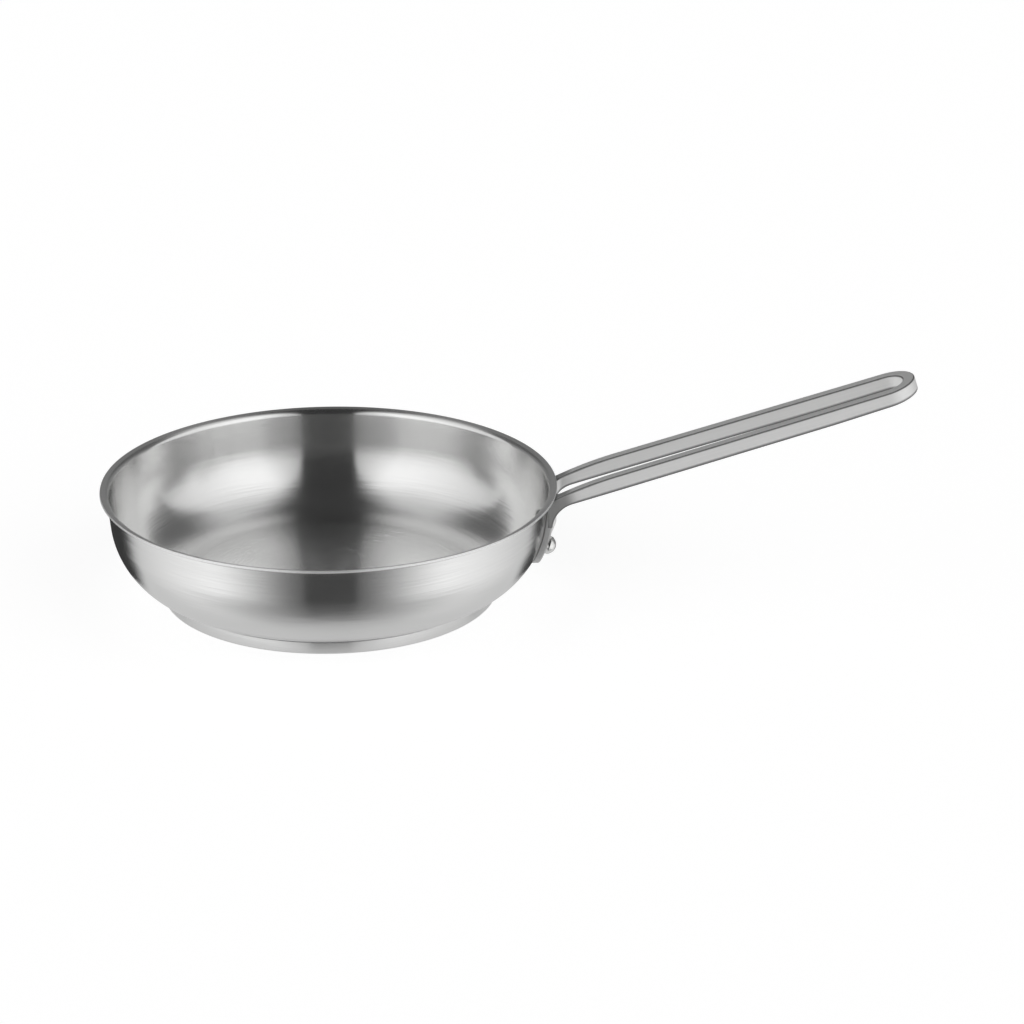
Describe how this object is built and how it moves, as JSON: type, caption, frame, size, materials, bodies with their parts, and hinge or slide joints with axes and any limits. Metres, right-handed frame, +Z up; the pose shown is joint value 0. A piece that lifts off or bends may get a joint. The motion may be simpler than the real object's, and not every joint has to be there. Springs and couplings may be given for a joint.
{
  "type": "frying pan",
  "caption": "Round steel frying pan with a curved wall, flared pouring lip, flat encapsulated base and a long hairpin loop handle riveted to the wall.",
  "frame": {"origin": "centre of the base's underside, on the pan's axis, where it stands on the hob", "axes": "+Z up along the pan's axis, +X along the handle, +Y to the left of someone who looks along the handle from the pan"},
  "size_m": [0.4274, 0.24, 0.1198],
  "materials": {
    "shell_steel": "fine brushing that runs round the axis, satin",
    "disc_aluminium": "plain, hidden inside the base",
    "cap_steel": "fine brushing that runs round the axis, satin",
    "handle_steel": "even satin, with darker narrow edges",
    "rivet_steel": "lightly polished domes"
  },
  "bodies": {
    "root": {"pan_shell": "shell_steel", "heat_disc": "disc_aluminium", "base_cap": "cap_steel", "handle": "handle_steel", "rivet_near": "rivet_steel", "rivet_far": "rivet_steel"}
  },
  "joints": []
}
